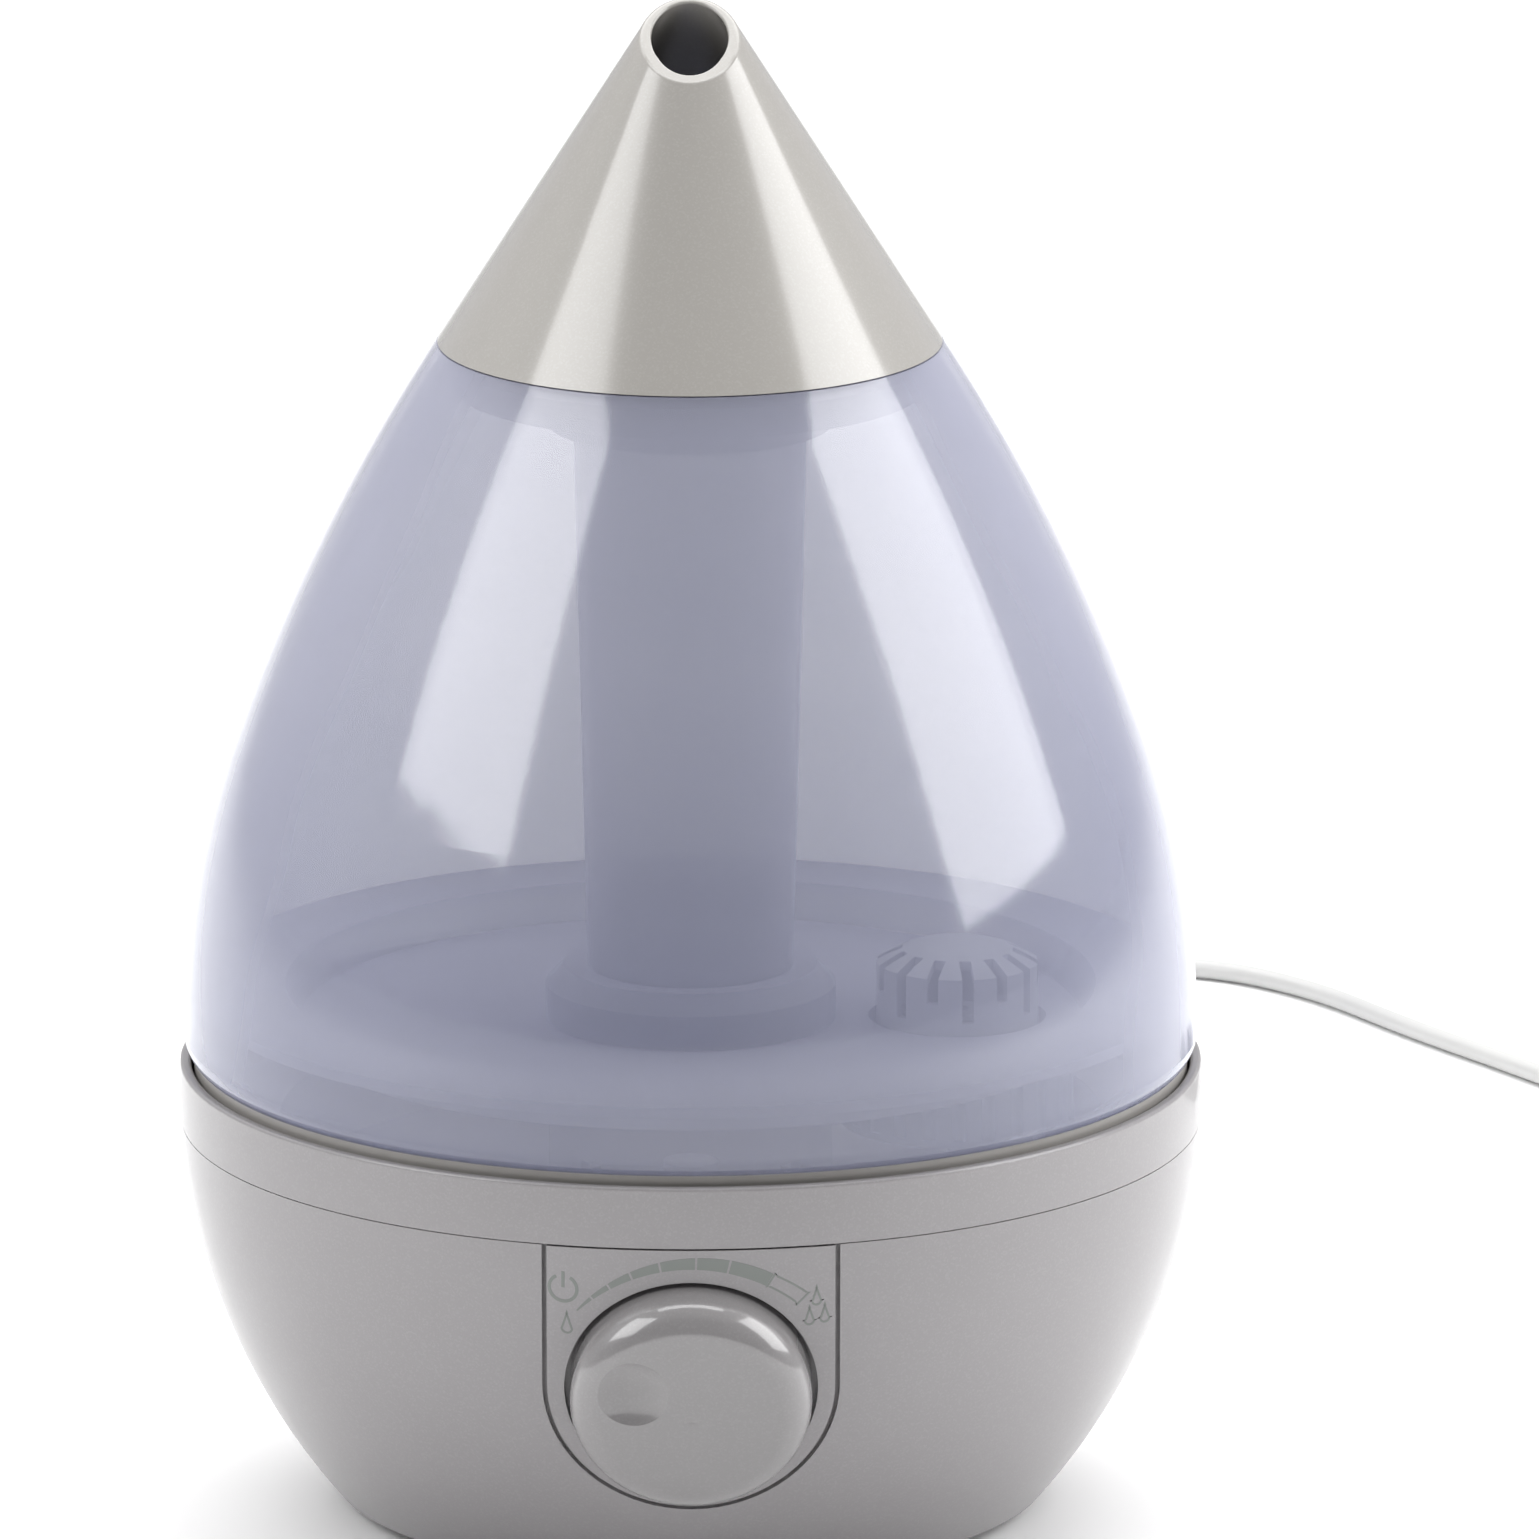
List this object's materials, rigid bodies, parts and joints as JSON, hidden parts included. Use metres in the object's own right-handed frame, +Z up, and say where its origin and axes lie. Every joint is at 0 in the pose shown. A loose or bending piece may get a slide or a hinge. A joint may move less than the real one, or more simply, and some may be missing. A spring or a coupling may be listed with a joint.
{
  "type": "cool mist humidifier",
  "caption": "Drop-shaped ultrasonic cool mist humidifier: bowl base with a front knob, lift-off translucent tank and turning cone nozzle.",
  "frame": {"origin": "centre of the resting plane, under the vertical axis of the bowl", "axes": "+Z up, -Y towards the knob, +X to the right seen from the front"},
  "size_m": [0.4243, 0.552, 0.3257],
  "materials": {
    "base_plastic": "satin pearl",
    "knob_plastic": "gloss",
    "deck_plastic": "satin",
    "cover_plastic": "fine texture",
    "screw_steel": "zinc plated",
    "foot_rubber": "matte",
    "disc_steel": "plated",
    "silicone": "matte",
    "holder_metal": "satin",
    "fan_plastic": "satin",
    "motor_copper": "enamelled wire",
    "board_laminate": "solder mask",
    "sink_aluminium": "satin",
    "part_plastic": "satin",
    "core_iron": "varnished",
    "lead_pvc": "satin",
    "pin_brass": "nickel plated",
    "float_foam": "foam",
    "tank_plastic": "translucent gloss",
    "nozzle_plastic": "pearl gloss",
    "cap_plastic": "satin",
    "filter_plastic": "satin"
  },
  "bodies": {
    "base": {"base_bowl": "base_plastic", "base_collar": "base_plastic", "base_deck": "deck_plastic", "splash_ring": "deck_plastic", "control_panel": "base_plastic", "bottom_cover": "cover_plastic", "bottom_screws": "screw_steel", "rubber_feet": "foot_rubber", "transducer_disc": "disc_steel", "transducer_seal": "silicone", "transducer_holder": "holder_metal", "holder_screws": "screw_steel", "fan_frame": "fan_plastic", "fan_motor": "motor_copper", "fan_duct": "cover_plastic", "fan_screws": "screw_steel", "board_posts": "cover_plastic", "driver_board": "board_laminate", "board_screws": "screw_steel", "heat_sink": "sink_aluminium", "board_parts": "part_plastic", "transformer_core": "core_iron", "transformer_winding": "motor_copper", "potentiometer": "holder_metal", "pot_nut": "screw_steel", "cord_gland": "lead_pvc", "power_cord": "lead_pvc", "cord_coil": "lead_pvc", "power_plug": "lead_pvc", "plug_pins": "pin_brass"},
    "float": {"float_ring": "float_foam", "float_magnet": "core_iron"},
    "fan_rotor": {"fan_impeller": "fan_plastic", "fan_shaft": "screw_steel"},
    "knob": {"knob": "knob_plastic", "knob_shaft": "holder_metal"},
    "tank": {"tank_shell": "tank_plastic", "tank_floor": "tank_plastic", "mist_tube": "tank_plastic", "neck_collar": "tank_plastic"},
    "cap_seat": {"cap_seat": "nozzle_plastic"},
    "nozzle": {"nozzle_cap": "nozzle_plastic"},
    "filler_cap": {"filler_cap": "cap_plastic", "filler_gasket": "silicone", "filter_cartridge": "filter_plastic", "valve_spring": "screw_steel"},
    "valve": {"valve_plunger": "cap_plastic", "valve_seal": "silicone"}
  },
  "joints": [
    {"name": "tank_lift", "type": "slide", "parent": "base", "child": "tank", "axis": [0, 0, 1], "range_m": [0, 0.15]},
    {"name": "cap_lift", "type": "slide", "parent": "tank", "child": "cap_seat", "axis": [0, 0, 1], "range_m": [0, 0.06]},
    {"name": "nozzle_turn", "type": "hinge", "parent": "cap_seat", "child": "nozzle", "pos_m": [0, 0, 0.253], "axis": [0, 0, 1], "continuous": true},
    {"name": "filler_turn", "type": "hinge", "parent": "tank", "child": "filler_cap", "pos_m": [0.057, 0, 0.09], "axis": [0, 0, 1], "range_deg": [-360, 0]},
    {"name": "valve_close", "type": "slide", "parent": "filler_cap", "child": "valve", "axis": [0, 0, 1], "range_m": [-0.004, 0], "deforming": ["valve_spring"]},
    {"name": "float_rise", "type": "slide", "parent": "base", "child": "float", "axis": [0, 0, 1], "range_m": [0, 0.009]},
    {"name": "fan_spin", "type": "hinge", "parent": "base", "child": "fan_rotor", "pos_m": [0, 0.0575, 0.045], "axis": [0, 0, 1], "continuous": true},
    {"name": "knob_turn", "type": "hinge", "parent": "base", "child": "knob", "pos_m": [0, -0.10262, 0.0496], "axis": [0, -0.9513, -0.3083], "range_deg": [-112, 0]}
  ],
  "couplings": [
    {"joint": "valve_close", "follows": "tank_lift", "ratio": -0.026667}
  ]
}
